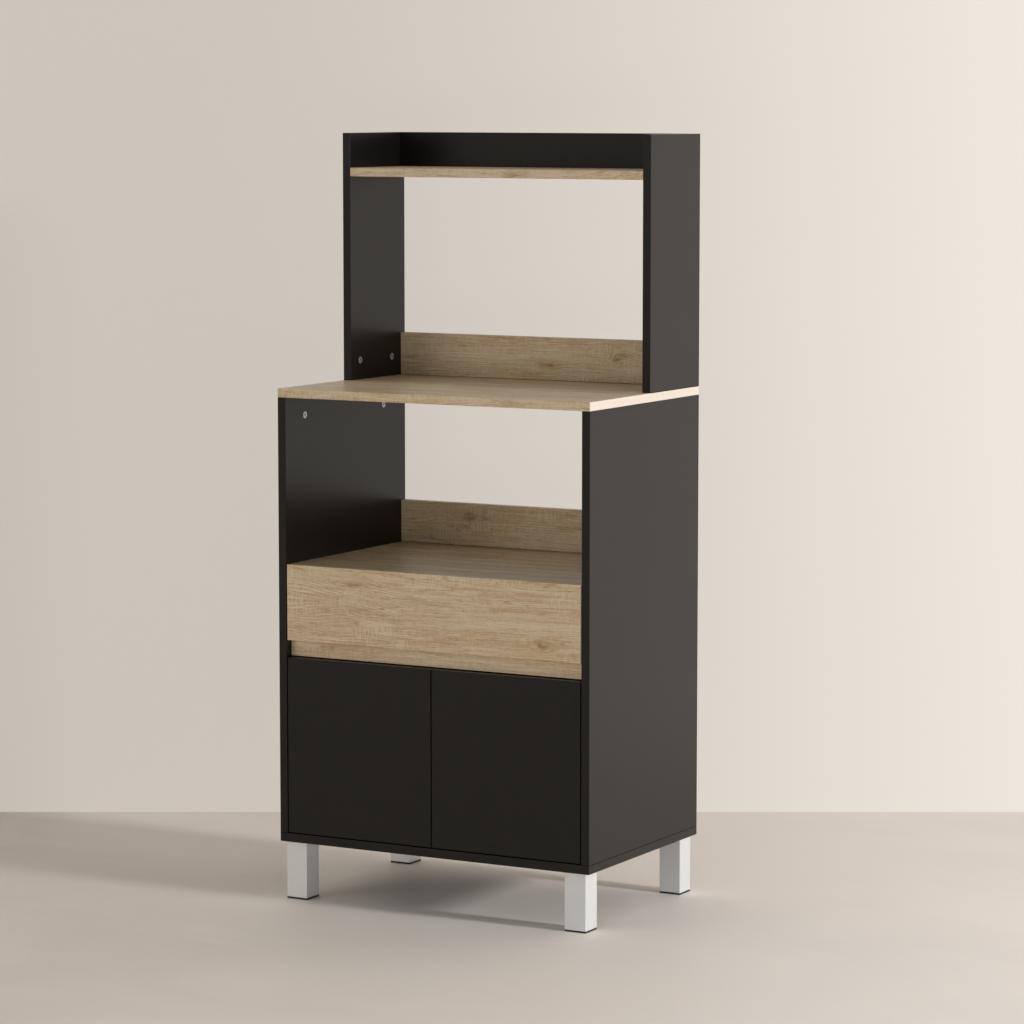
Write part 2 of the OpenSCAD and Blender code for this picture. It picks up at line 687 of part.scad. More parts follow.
module drawer_cam_locks() { at_cams(concat(drawer_front_cams, drawer_back_cams)) cam_lock(drawer_board); }
module drawer_cam_bolts() { at_cams(concat(drawer_front_cams, drawer_back_cams)) cam_bolt(); }
module drawer_dowels() { at_dowels(concat(drawer_front_dowels, drawer_back_dowels)) dowel(); }

// ------------------------------------------------------------------ hinges
// Local frame: from_side at the hinge's height. Pivots are given from the
// door's hinge edge and rear face, as the hinge is made
arm_pivot_in = 24;
arm_pivot_behind = 7;
cup_pivot_in = 11.5;
cup_pivot_sunk = 5.5;
elbow_in = 27;
elbow_sunk = 8;
arm_pivot = [door_gap + arm_pivot_in, board + arm_pivot_behind];
cup_pivot = [door_gap + cup_pivot_in, board - cup_pivot_sunk];
link_elbow = [door_gap + elbow_in, board - elbow_sunk];
cup_x = door_gap + cup_edge;
cup_wall = 0.8;
cup_floor = 1.1;
cup_gap = 0.1;
cup_flange_t = 1;
cup_flange_proud = 1.5;
cup_flange_d = cup_d + 2 * cup_flange_proud;
cup_screw_x = 9.5;
cup_screw_z = 22.5;
cup_ear_r = 5.5;
cup_screw_l = 10;
lug_in = 6.8;
lug_t = 2;
eye_r = 3;
cup_eye_r = 2.8;
pin_proud = 0.3;
link_half_w = 1.6;
cheek_in = 4.2;
cheek_t = 2;
link_web_from = 0.35;
link_web_to = 0.6;
arm_half_h = 3.8;
arm_bar_half_w = 1.6;
arm_knee_in = 1;
arm_knee_back = 9;
arm_knee = [arm_pivot.x - arm_knee_in, arm_pivot.y + arm_knee_back];
arm_sheet = 1.6;
arm_rear_x = 7.2;
arm_wall_lift = 1;
arm_nose = 20;
arm_front_y = arm_pivot.y + arm_nose;
arm_l = 54;
arm_half_w = 7.4;
plate_t = 2;
plate_ridge_h = 5;
plate_ridge_half_w = 5.4;
plate_setback = 4;
plate_front = arm_front_y + plate_setback;
plate_l = 48;
plate_wing_setback = 8;
plate_wing_y = plate_front + plate_wing_setback;
plate_wing_z = 16;
plate_wing_r = 6;
plate_screw_l = 13;
clamp_screw_d = 4;
clamp_screw_head_d = 8;
clamp_screw_head_h = 2;
clamp_recess_w = 4.8;
clamp_recess = 1;
front_clamp = 16;
rear_clamp = 36;
clamp_screws_y = [plate_front + front_clamp, plate_front + rear_clamp];
clamp_screw_depth = 5;
hinge_heights = [door_low + hinge_from_end, door_top - hinge_from_end];

module at_plate_screws() for (up = SIDES)
    translate([plate_t, plate_wing_y, up * plate_wing_z]) rotate([0, 90, 0]) children();

// Mounting plate on the side panel: two wings and a ridge for the arm
module hinge_plate() color(zinc) difference() {
    union() {
        rotate([0, 90, 0]) linear_extrude(plate_t)
            bar_outline([-plate_wing_z, plate_wing_y], [plate_wing_z, plate_wing_y], plate_wing_r);
        translate([0, plate_front, -plate_ridge_half_w])
            cube([plate_t + plate_ridge_h, plate_l, 2 * plate_ridge_half_w]);
    }
    at_plate_screws() flat_screw_hole(plate_screw_l);
    for (y = clamp_screws_y) clamp_screw_cut(y);
}

module clamp_screw_cut(y) translate([arm_rear_x - clamp_screw_depth, y, 0])
    rotate([0, 90, 0])
        cylinder(h = clamp_screw_depth + 2 * arm_sheet + past, d = clamp_screw_d + 2 * hole_gap);

module clamp_screw(y) color(zinc) translate([arm_rear_x + arm_sheet, y, 0]) rotate([0, 90, 0]) difference() {
    union() {
        cylinder(h = clamp_screw_head_h, d = clamp_screw_head_d);
        translate([0, 0, -clamp_screw_depth]) cylinder(h = clamp_screw_depth, d = clamp_screw_d);
    }
    translate([0, 0, clamp_screw_head_h]) cross_recess(clamp_recess_w, clamp_recess);
}

// Fixed arm: a channel over the plate's ridge, cranked out to the first pivot
module hinge_arm() color(zinc) difference() {
    union() {
        translate([arm_rear_x, arm_front_y, -arm_half_w]) cube([arm_sheet, arm_l, 2 * arm_half_w]);
        for (z = [-arm_half_w, arm_half_w - arm_sheet]) translate([plate_t + arm_wall_lift, arm_front_y, z])
            cube([arm_rear_x + arm_sheet - plate_t - arm_wall_lift, arm_l, arm_sheet]);
        translate([0, 0, -arm_half_h]) linear_extrude(2 * arm_half_h) {
            bar_outline(arm_pivot, arm_knee, arm_bar_half_w);
            bar_outline(arm_knee, [arm_rear_x + arm_sheet / 2, arm_front_y + arm_sheet / 2], arm_bar_half_w);
            translate(arm_pivot) circle(r = eye_r);
        }
    }
    hinge_pin_hole(arm_pivot);
    for (y = clamp_screws_y) clamp_screw_cut(y);
}

module hinge_pin_hole(at) translate([at.x, at.y, -cup_d])
    cylinder(h = 2 * cup_d, d = hinge_pin_d + 2 * hole_gap);

module hinge_pin(at, half_l) color(zinc) translate([at.x, at.y, -half_l])
    cylinder(h = 2 * half_l, d = hinge_pin_d);

// Moving link: two cheeks round the arm's eye, joined by a web at the elbow
module hinge_link() color(zinc) difference() {
    union() {
        for (z = [-cheek_in - cheek_t, cheek_in]) translate([0, 0, z]) linear_extrude(cheek_t) {
            bar_outline(cup_pivot, link_elbow, link_half_w);
            bar_outline(link_elbow, arm_pivot, link_half_w);
            translate(cup_pivot) circle(r = cup_eye_r);
            translate(arm_pivot) circle(r = eye_r);
        }
        translate([0, 0, -cheek_in - cheek_t]) linear_extrude(2 * (cheek_in + cheek_t)) {
            bar_outline(cup_pivot + link_web_from * (link_elbow - cup_pivot), link_elbow, link_half_w);
            bar_outline(link_elbow, link_elbow + link_web_to * (arm_pivot - link_elbow), link_half_w);
        }
    }
    hinge_pin_hole(arm_pivot);
    hinge_pin_hole(cup_pivot);
}

module cup_axis(depth) translate([cup_x, board - depth, 0]) rotate([-90, 0, 0]) children();

module at_cup_screws() for (up = SIDES)
    translate([cup_x + cup_screw_x, board + cup_flange_t, up * cup_screw_z]) rotate([-90, 0, 0]) children();

// Cup pressed into the door, with a flange on the rear face and two lugs
// inside that hold the second pivot's pin
module hinge_cup() color(zinc) difference() {
    union() {
        difference() {
            union() {
                cup_axis(cup_depth) cylinder(h = cup_depth, d = cup_d);
                translate([0, board, 0]) rotate([-90, 0, 0]) linear_extrude(cup_flange_t) {
                    translate([cup_x, 0]) circle(d = cup_flange_d);
                    bar_outline([cup_x + cup_screw_x, -cup_screw_z], [cup_x + cup_screw_x, cup_screw_z],
                                cup_ear_r);
                }
            }
            cup_axis(cup_depth - cup_floor) cylinder(h = cup_depth + past, d = cup_d - 2 * cup_wall);
        }
        for (z = [-lug_in - lug_t, lug_in]) translate([0, 0, z]) linear_extrude(lug_t) {
            translate(cup_pivot) circle(r = eye_r);
            translate([cup_pivot.x - eye_r, board - cup_depth + cup_floor / 2])
                square([2 * eye_r, cup_pivot.y - board + cup_depth - cup_floor / 2]);
        }
    }
    hinge_pin_hole_short(cup_pivot);
    at_cup_screws() flat_screw_hole(cup_screw_l);
}

module hinge_pin_hole_short(at) translate([at.x, at.y, -lug_in - lug_t - past])
    cylinder(h = 2 * (lug_in + lug_t + past), d = hinge_pin_d + 2 * hole_gap);

module hinge_plates() for (side = SIDES, z = hinge_heights) from_side(side, z) hinge_plate();
module hinge_plate_screws() for (side = SIDES, z = hinge_heights) from_side(side, z)
    at_plate_screws() flat_screw(plate_screw_l);
module hinge_arms() for (side = SIDES, z = hinge_heights) from_side(side, z) hinge_arm();
module hinge_arm_pins() for (side = SIDES, z = hinge_heights) from_side(side, z)
    hinge_pin(arm_pivot, cheek_in + cheek_t + pin_proud);
module hinge_clamp_screws() for (side = SIDES, z = hinge_heights, y = clamp_screws_y)
    from_side(side, z) clamp_screw(y);

module hinge_links(side) for (z = hinge_heights) from_side(side, z) hinge_link();
module hinge_cups(side) for (z = hinge_heights) from_side(side, z) hinge_cup();
module hinge_cup_screws(side) for (z = hinge_heights) from_side(side, z)
    at_cup_screws() flat_screw(cup_screw_l);
module hinge_cup_pins(side) for (z = hinge_heights) from_side(side, z)
    hinge_pin(cup_pivot, lug_in + lug_t);

// ------------------------------------------------------------------- doors
module door(side) color(black) difference() {
    from_side(side, 0) translate([door_gap, 0, door_low])
        cube([inner_w / 2 - 1.5 * door_gap, board, door_top - door_low]);
    for (z = hinge_heights) from_side(side, z) {
        cup_axis(cup_depth + cup_gap) cylinder(h = cup_depth + cup_gap + past, d = cup_d + 2 * cup_gap);
        at_cup_screws() flat_screw_hole(cup_screw_l);
    }
}

side_panel(-1);  // side_panel_left
side_panel(1);  // side_panel_right
bottom_panel();
worktop();
microwave_shelf();
microwave_rear_rail();
grip_rail();
back_panel();
hutch_side(-1);  // hutch_side_left
hutch_side(1);  // hutch_side_right
hutch_shelf();
hutch_top_rail();
hutch_rear_rail();
leg(-1, -1);  // leg_front_left
leg(1, -1);  // leg_front_right
leg(-1, 1);  // leg_rear_left
leg(1, 1);  // leg_rear_right
leg_plugs();
leg_bolts();
foot_pads();
case_cam_locks();
case_cam_bolts();
case_dowels();
hutch_cam_locks();
hutch_cam_bolts();
hutch_dowels();
case_runner_left();
case_runner_right();
case_runner_screws();
front_roller_rivets();
hinge_plates();
hinge_plate_screws();
hinge_arms();
hinge_arm_pins();
hinge_clamp_screws();
drawer_front();
drawer_side(-1);  // drawer_side_left
drawer_side(1);  // drawer_side_right
drawer_back();
drawer_bottom();
drawer_runner_left();
drawer_runner_right();
drawer_runner_screws();
drawer_cam_locks();
drawer_cam_bolts();
drawer_dowels();
rear_roller_rivets();
front_rollers();
rear_rollers();
door(-1);  // door_left
door(1);  // door_right
hinge_cups(-1);  // hinge_cups_left
hinge_cups(1);  // hinge_cups_right
hinge_cup_screws(-1);  // hinge_cup_screws_left
hinge_cup_screws(1);  // hinge_cup_screws_right
hinge_cup_pins(-1);  // hinge_cup_pins_left
hinge_cup_pins(1);  // hinge_cup_pins_right
hinge_links(-1);  // hinge_links_left
hinge_links(1);  // hinge_links_right
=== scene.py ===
"""Looks of the microwave stand: materials, rounded edges, joint lines, stage, lights and camera.

Metres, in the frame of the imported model: +X right, +Y to the rear, +Z up, origin on the floor.
The scale of a noise is in features per metre along each axis.
"""

import math

import bpy
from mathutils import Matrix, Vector


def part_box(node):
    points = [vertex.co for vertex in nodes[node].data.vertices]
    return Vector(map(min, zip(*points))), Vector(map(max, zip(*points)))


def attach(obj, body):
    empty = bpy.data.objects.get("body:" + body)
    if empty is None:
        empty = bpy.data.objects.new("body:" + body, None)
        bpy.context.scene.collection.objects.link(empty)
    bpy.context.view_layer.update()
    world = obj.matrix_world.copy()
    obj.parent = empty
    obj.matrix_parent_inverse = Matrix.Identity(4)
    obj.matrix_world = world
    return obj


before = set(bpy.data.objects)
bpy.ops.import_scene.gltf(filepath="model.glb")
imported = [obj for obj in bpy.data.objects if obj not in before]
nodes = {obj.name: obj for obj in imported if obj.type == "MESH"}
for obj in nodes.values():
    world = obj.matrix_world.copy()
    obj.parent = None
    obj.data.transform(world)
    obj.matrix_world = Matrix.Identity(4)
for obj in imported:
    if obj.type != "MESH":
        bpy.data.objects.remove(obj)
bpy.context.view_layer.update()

MM = 0.001
# a face whose normal has more than this share along an axis counts as facing that way
FACING = 0.7


# ------------------------------------------------------------------ colours
def tone(red, green, blue):
    """Linear colour of an 8-bit screen colour."""
    def linear(value):
        share = value / 255
        return share / 12.92 if share <= 0.04045 else ((share + 0.055) / 1.055) ** 2.4
    return (linear(red), linear(green), linear(blue), 1.0)


OAK_PALE = tone(205, 191, 165)
OAK_MAIN = tone(196, 176, 146)
OAK_ROSE = tone(193, 167, 140)
OAK_SHADE = tone(186, 162, 128)
OAK_LINE = tone(163, 130, 87)
OAK_PORE = tone(134, 106, 76)
# darker tone painted on the tops as shade
OAK_TOP_SHADE = tone(148, 128, 101)
# paler tone painted on the ends as side light
OAK_END_LIT = tone(208, 200, 190)
FOIL_BLACK = tone(12, 10, 9)
FOIL_BLACK_WORN = tone(19, 17, 16)
SILVER = tone(220, 222, 223)
SILVER_DULL = tone(208, 210, 211)
PLASTIC_BLACK = tone(14, 14, 14)
PLASTIC_GREY = tone(20, 20, 20)
# painted shade of the joints, with a little dust
JOINT_SHADE_DARK = tone(5, 5, 5)
JOINT_SHADE_DUSTY = tone(14, 13, 12)
BEECH_PALE = tone(222, 190, 146)
BEECH_DARK = tone(190, 150, 104)
HARDBOARD = tone(128, 96, 66)
HARDBOARD_DARK = tone(96, 70, 46)
RUNNER_WHITE = tone(222, 222, 218)
NYLON = tone(236, 235, 228)
NYLON_DULL = tone(228, 226, 216)
ZINC = tone(226, 225, 220)
ZINC_DARK = tone(180, 179, 175)
NICKEL = tone(214, 212, 206)
SCREW_ZINC = tone(208, 206, 198)
# painted shade for the recesses of bright metal, and how far it reaches
METAL_PAINTED_SHADE = tone(40, 38, 35)
METAL_SHADE_REACH = 2.2 * MM


# ------------------------------------------------------------ node graphs
class Graph:
    """Builds one material's nodes with short calls that return sockets."""

    def __init__(self, name):
        self.material = bpy.data.materials.new(name)
        self.material.use_nodes = True
        self.tree = self.material.node_tree
        self.tree.nodes.clear()
        self.coords = self.tree.nodes.new("ShaderNodeTexCoord")

    def add(self, kind, inputs, **settings):
        node = self.tree.nodes.new(kind)
        for key, value in settings.items():
            setattr(node, key, value)
        for key, value in inputs.items():
            if isinstance(value, bpy.types.NodeSocket):
                self.tree.links.new(value, node.inputs[key])
            else:
                node.inputs[key].default_value = value
        return node

    def maths(self, operation, first, second=0.0, third=0.0):
        inputs = {0: first, 1: second, 2: third}
        return self.add("ShaderNodeMath", inputs, operation=operation).outputs[0]

    def vector_maths(self, operation, first, second):
        return self.add("ShaderNodeVectorMath", {0: first, 1: second}, operation=operation).outputs[0]

    def stretched(self, source, scale, offset=(0, 0, 0)):
        inputs = {"Vector": source, "Scale": scale, "Location": offset}
        return self.add("ShaderNodeMapping", inputs).outputs[0]

    def noise(self, source, scale=1.0, detail=2.0, roughness=0.5, distortion=0.0):
        inputs = {"Vector": source, "Scale": scale, "Detail": detail,
                  "Roughness": roughness, "Distortion": distortion}
        return self.add("ShaderNodeTexNoise", inputs).outputs["Fac"]

    def steps(self, value, low, high, low_to=0.0, high_to=1.0):
        """Maps low..high to low_to..high_to with a smooth, clamped step."""
        inputs = {"Value": value, "From Min": low, "From Max": high, "To Min": low_to, "To Max": high_to}
        return self.add("ShaderNodeMapRange", inputs, interpolation_type="SMOOTHSTEP").outputs[0]

    def blend(self, share, first, second):
        """Mixes two colours; 6, 7 and 2 are the Mix node's colour sockets."""
        return self.add("ShaderNodeMix", {0: share, 6: first, 7: second}, data_type="RGBA").outputs[2]

    def bump(self, height, distance, strength):
        inputs = {"Height": height, "Distance": distance, "Strength": strength}
        return self.add("ShaderNodeBump", inputs).outputs[0]

    def shade(self, **sockets):
        """Ends the graph in a Principled shader; a name's _ stands for a space."""
        shader = self.add("ShaderNodeBsdfPrincipled", {k.replace("_", " "): v for k, v in sockets.items()})
        self.add("ShaderNodeOutputMaterial", {"Surface": shader.outputs[0]})
        return self.material


# -------------------------------------------------------------- materials
KNOT_PARTING = (0.0, -0.72, -0.72)
KNOT_SHIVER = 18 * MM
KNOT_RAGGED = 0.5
NO_KNOT = 9.0


def eddy(g, place, grain, centre, reach):
    """Leads the grain round a small knot; returns the bent grain and the distance in reaches."""
    away = g.vector_maths("SUBTRACT", place, centre)
    ragged = g.noise(g.stretched(place, (60, 90, 90)), detail=2)
    scaled = g.stretched(away, tuple(1 / r for r in reach))
    far = g.add("ShaderNodeVectorMath", {0: scaled}, operation="LENGTH").outputs["Value"]
    far = g.maths("MULTIPLY_ADD", ragged, KNOT_RAGGED, g.maths("ADD", far, -KNOT_RAGGED / 2))
    near = g.steps(far, 1.0, 0.0)
    # the lines part in front of the knot, and shiver beside it
    parted = g.vector_maths("MULTIPLY", away, KNOT_PARTING)
    curl = g.maths("SUBTRACT", g.noise(g.stretched(place, (24, 40, 40), centre), detail=1), 0.5)
    curl = g.maths("MULTIPLY", curl, KNOT_SHIVER)
    shiver = g.add("ShaderNodeCombineXYZ", {1: curl, 2: curl}).outputs[0]
    bend = g.vector_maths("ADD", parted, shiver)
    bend = g.add("ShaderNodeVectorMath", {0: bend, "Scale": near}, operation="SCALE").outputs[0]
    return g.vector_maths("ADD", grain, bend), far


OAK_SWAY = 34 * MM
OAK_TILT = 0.45
OAK_ARCH = 85 * MM
OAK_FRAY = 2.8 * MM
OAK_RINGS = 260.0
OAK_LINES = 15.0


def oak_foil(name, offset, knots):
    """Printed oak decor: grain along X with arches, streaks, pores, saw marks and a few knots."""
    g = Graph(name)
    place = g.coords.outputs["Object"]
    split = g.add("ShaderNodeSeparateXYZ", {0: place})
    turned = g.add("ShaderNodeCombineXYZ", {0: split.outputs[1], 1: split.outputs[0], 2: split.outputs[2]})
    normal = g.add("ShaderNodeSeparateXYZ", {0: g.coords.outputs["Normal"]})
    on_end = g.maths("GREATER_THAN", g.maths("ABSOLUTE", normal.outputs[0]), FACING)
    on_top = g.maths("GREATER_THAN", g.maths("ABSOLUTE", normal.outputs[2]), FACING)
    # on the ends the edging's grain runs from front to back; 4, 5 and 1 are the Mix node's vector sockets
    inputs = {0: on_end, 4: place, 5: turned.outputs[0]}
    picked = g.add("ShaderNodeMix", inputs, data_type="VECTOR").outputs[1]
    grain = g.stretched(picked, (1, 1, 1), offset)
    far = NO_KNOT
    for centre, reach in knots:
        grain, one_far = eddy(g, place, grain, centre, reach)
        far = g.maths("MINIMUM", one_far, far)

    # everything along the grain bends with one slow sway
    sway = g.maths("SUBTRACT", g.noise(g.stretched(grain, (2.1, 11, 11)), detail=2, roughness=0.45), 0.5)
    swing = g.maths("MULTIPLY", sway, OAK_SWAY)
    bend = g.add("ShaderNodeCombineXYZ", {1: swing, 2: swing})
    grain = g.vector_maths("ADD", grain, bend.outputs[0])

    # year rings are the level lines of a slow field, so some close into long arches
    at = g.add("ShaderNodeSeparateXYZ", {0: grain})
    level = g.maths("MULTIPLY_ADD", at.outputs[1], OAK_TILT, at.outputs[2])
    arches = g.noise(g.stretched(grain, (2.6, 9, 9), (4, 4, 1)), detail=2)
    level = g.maths("MULTIPLY_ADD", arches, OAK_ARCH, level)
    frayed = g.noise(g.stretched(grain, (26, 110, 110)), detail=2)
    level = g.maths("MULTIPLY_ADD", frayed, OAK_FRAY, level)
    ring = g.maths("FRACT", g.maths("MULTIPLY", level, OAK_RINGS))
    late = g.maths("MULTIPLY", g.steps(ring, 0.42, 0.86), g.steps(ring, 1.0, 0.92))
    figured = g.steps(g.noise(g.stretched(grain, (3.4, 19, 19), (3, 1, 7)), detail=2), 0.50, 0.60)
    figured = g.maths("MAXIMUM", figured, g.steps(far, 1.0, 0.4, 0.0, 0.8))
    rings = g.maths("MULTIPLY", late, g.maths("MULTIPLY_ADD", figured, 0.56, 0.10))

    # bands, streaks, fibres and pores run along the grain
    bands = g.noise(g.stretched(grain, (1.3, 30, 30), (1, 5, 2)), detail=3, roughness=0.6)
    rosy = g.noise(g.stretched(grain, (3.0, 15, 15), (8, 0, 5)), detail=2)
    broad = g.noise(g.stretched(grain, (2.4, 52, 2.4), (7, 3, 9)), detail=3, roughness=0.65)
    streaks = g.noise(g.stretched(grain, (3, 170, 170), (2, 7, 4)), detail=2, roughness=0.6)
    fibres = g.noise(g.stretched(grain, (12, 420, 420)), detail=2, roughness=0.6)
    grit = g.noise(g.stretched(grain, (95, 520, 520), (6, 1, 3)), detail=2, roughness=0.6)
    # a few thin lines lie side by side, wander together and meet in long arches
    wander = g.noise(g.stretched(grain, (2.0, 30, 30), (3, 8, 6)), detail=2, roughness=0.45)
    line = g.maths("FRACT", g.maths("MULTIPLY", wander, OAK_LINES))
    line = g.maths("ABSOLUTE", g.maths("SUBTRACT", line, 0.5))
    beam = g.steps(g.maths("ABSOLUTE", g.maths("SUBTRACT", wander, 0.5)), 0.10, 0.03)
    thin = g.maths("MULTIPLY", g.steps(line, 0.17, 0.03), beam)
    inked = g.steps(g.noise(g.stretched(grain, (3.0, 14, 14), (1, 9, 2)), detail=1), 0.42, 0.58)
    pores = g.steps(g.noise(g.stretched(grain, (130, 900, 900), (9, 4, 3)), detail=1), 0.60, 0.72)
    # the saw's fine marks cross the grain in patches
    patch = g.steps(g.noise(g.stretched(grain, (11, 24, 24), (5, 2, 8)), detail=2), 0.51, 0.64)
    sawn = g.noise(g.stretched(picked, (380, 46, 46), offset), detail=1)
    marks = g.maths("MULTIPLY", g.maths("MULTIPLY_ADD", patch, 0.70, 0.30), g.steps(sawn, 0.44, 0.62))

    colour = g.blend(g.steps(bands, 0.36, 0.64), OAK_SHADE, OAK_MAIN)
    colour = g.blend(g.steps(bands, 0.56, 0.70, 0.0, 0.55), colour, OAK_PALE)
    colour = g.blend(g.steps(rosy, 0.46, 0.66, 0.0, 0.60), colour, OAK_ROSE)
    # painted shade: the tops are darkened, in broad streaks along the grain with paler grain streaks
    # between
    colour = g.blend(g.maths("MULTIPLY", on_top, g.steps(broad, 0.43, 0.59, 0.08, 0.90)), colour, OAK_TOP_SHADE)
    colour = g.blend(g.maths("MULTIPLY", on_top, g.steps(broad, 0.44, 0.32, 0.0, 0.50)), colour, OAK_PALE)
    colour = g.blend(g.steps(streaks, 0.54, 0.72, 0.0, 0.42), colour, OAK_LINE)
    colour = g.blend(g.steps(streaks, 0.48, 0.32, 0.0, 0.60), colour, OAK_PALE)
    colour = g.blend(g.steps(fibres, 0.50, 0.70, 0.0, 0.85), colour, OAK_PALE)
    colour = g.blend(g.steps(fibres, 0.48, 0.30, 0.0, 0.50), colour, OAK_LINE)
    colour = g.blend(g.maths("MULTIPLY", g.maths("MULTIPLY", thin, inked), 0.62), colour, OAK_LINE)
    colour = g.blend(rings, colour, OAK_LINE)
    colour = g.blend(g.steps(grit, 0.46, 0.30, 0.0, 0.30), colour, OAK_PORE)
    colour = g.blend(g.steps(grit, 0.52, 0.68, 0.0, 0.45), colour, OAK_PALE)
    colour = g.blend(g.maths("MULTIPLY", pores, 0.26), colour, OAK_PORE)
    colour = g.blend(g.maths("MULTIPLY", marks, 0.55), colour, OAK_PALE)
    colour = g.blend(g.steps(far, 0.80, 0.25, 0.0, 0.30), colour, OAK_LINE)
    core = g.maths("MULTIPLY", g.steps(far, 0.42, 0.10, 0.0, 0.75), g.steps(fibres, 0.62, 0.40, 0.15, 1.0))
    colour = g.blend(core, colour, OAK_PORE)
    # painted light: the ends get a paler tone of the same decor, as if lit by the side light
    colour = g.blend(g.maths("MULTIPLY", on_end, 0.80), colour, OAK_END_LIT)

    relief = g.maths("MULTIPLY_ADD", pores, -0.6, g.maths("MULTIPLY", fibres, 0.5))
    relief = g.maths("MULTIPLY_ADD", marks, 0.25, relief)
    return g.shade(Base_Color=colour, Roughness=g.steps(fibres, 0.3, 0.7, 0.42, 0.35), IOR=1.40,
                   Specular_IOR_Level=0.38, Normal=g.bump(relief, 0.12 * MM, 0.6))


def black_foil(name):
    """Smooth matt black foil: a very fine pearl, slow changes of sheen and no grain."""
    g = Graph(name)
    place = g.coords.outputs["Object"]
    pearl = g.noise(place, 900, detail=2, roughness=0.7)
    cloud = g.noise(g.stretched(place, (2.6, 2.6, 1.8)), detail=3, roughness=0.5)
    speck = g.steps(g.noise(place, 420, detail=1), 0.72, 0.80)
    colour = g.blend(g.steps(pearl, 0.40, 0.70, 0.0, 0.30), FOIL_BLACK, FOIL_BLACK_WORN)
    colour = g.blend(g.maths("MULTIPLY", speck, 0.15), colour, FOIL_BLACK_WORN)
    rough = g.steps(cloud, 0.3, 0.7, 0.285, 0.31)
    return g.shade(Base_Color=colour, Roughness=rough, IOR=1.38, Normal=g.bump(pearl, 0.02 * MM, 0.12))


def silver_lacquer(name):
    """Satin silver lacquer with a faint flake and orange peel."""
    g = Graph(name)
    place = g.coords.outputs["Object"]
    flake = g.noise(place, 2600, detail=1)
    peel = g.noise(place, 420, detail=2)
    cloud = g.noise(g.stretched(place, (20, 20, 8)), detail=3)
    colour = g.blend(g.steps(flake, 0.35, 0.7), SILVER_DULL, SILVER)
    rough = g.steps(cloud, 0.3, 0.7, 0.34, 0.42)
    return g.shade(Base_Color=colour, Metallic=0.30, Roughness=rough, Normal=g.bump(peel, 0.06 * MM, 0.4))


def moulded_plastic(name, dark, pale, rough):
    """Moulded plastic with a fine spark-eroded texture."""
    g = Graph(name)
    place = g.coords.outputs["Object"]
    grain = g.noise(place, 1500, detail=2)
    cloud = g.noise(place, 60, detail=3)
    colour = g.blend(g.steps(cloud, 0.3, 0.7), dark, pale)
    sheen = g.steps(grain, 0.3, 0.7, rough - 0.05, rough + 0.05)
    return g.shade(Base_Color=colour, Roughness=sheen, IOR=1.46, Normal=g.bump(grain, 0.05 * MM, 0.5))


def dusty_joint(name):
    """Painted shade of the gap in a joint: a dull dark line with a little dust."""
    g = Graph(name)
    dust = g.noise(g.coords.outputs["Object"], 90, detail=3)
    colour = g.blend(g.steps(dust, 0.4, 0.7), JOINT_SHADE_DARK, JOINT_SHADE_DUSTY)
    return g.shade(Base_Color=colour, Roughness=0.95, IOR=1.12)


def beech(name):
    """Turned beech with short dark ray flecks along the dowel."""
    g = Graph(name)
    place = g.coords.outputs["Object"]
    fibres = g.noise(g.stretched(place, (120, 900, 900)), detail=3)
    flecks = g.steps(g.noise(g.stretched(place, (500, 1600, 1600)), detail=1), 0.60, 0.72)
    colour = g.blend(g.steps(fibres, 0.3, 0.7), BEECH_DARK, BEECH_PALE)
    colour = g.blend(g.maths("MULTIPLY", flecks, 0.45), colour, BEECH_DARK)
    return g.shade(Base_Color=colour, Roughness=0.62, Normal=g.bump(fibres, 0.1 * MM, 0.5))


def hardboard(name):
    """Pressed fibreboard: brown and fibrous behind and below, coated black on the sides that show."""
    g = Graph(name)
    place = g.coords.outputs["Object"]
    normal = g.add("ShaderNodeSeparateXYZ", {0: g.coords.outputs["Normal"]})
    coated = g.maths("MAXIMUM", g.maths("LESS_THAN", normal.outputs[1], -FACING),
                     g.maths("GREATER_THAN", normal.outputs[2], FACING))
    chips = g.noise(place, 420, detail=4, roughness=0.7, distortion=1.2)
    blots = g.noise(place, 9, detail=5, roughness=0.65)
    screen = g.maths("MULTIPLY", g.noise(g.stretched(place, (900, 900, 60)), detail=0),
                     g.noise(g.stretched(place, (60, 900, 900)), detail=0))
    raw = g.blend(g.steps(chips, 0.35, 0.68), HARDBOARD_DARK, HARDBOARD)
    raw = g.blend(g.steps(blots, 0.42, 0.66, 0.0, 0.35), raw, HARDBOARD_DARK)
    colour = g.blend(coated, raw, FOIL_BLACK)
    rough = g.maths("MULTIPLY_ADD", coated, -0.28, g.steps(chips, 0.3, 0.7, 0.66, 0.78))
    relief = g.maths("ADD", chips, screen)
    return g.shade(Base_Color=colour, Roughness=rough, Normal=g.bump(relief, 0.15 * MM, 0.5))


def epoxy_steel(name):
    """White epoxy powder coat on rolled steel."""
    g = Graph(name)
    place = g.coords.outputs["Object"]
    peel = g.noise(place, 520, detail=2)
    smear = g.noise(g.stretched(place, (40, 6, 40)), detail=3)
    colour = g.blend(g.steps(smear, 0.42, 0.75, 0.0, 0.5), RUNNER_WHITE, SILVER_DULL)
    return g.shade(Base_Color=colour, Roughness=g.steps(peel, 0.3, 0.7, 0.32, 0.42),
                   Normal=g.bump(peel, 0.06 * MM, 0.5))


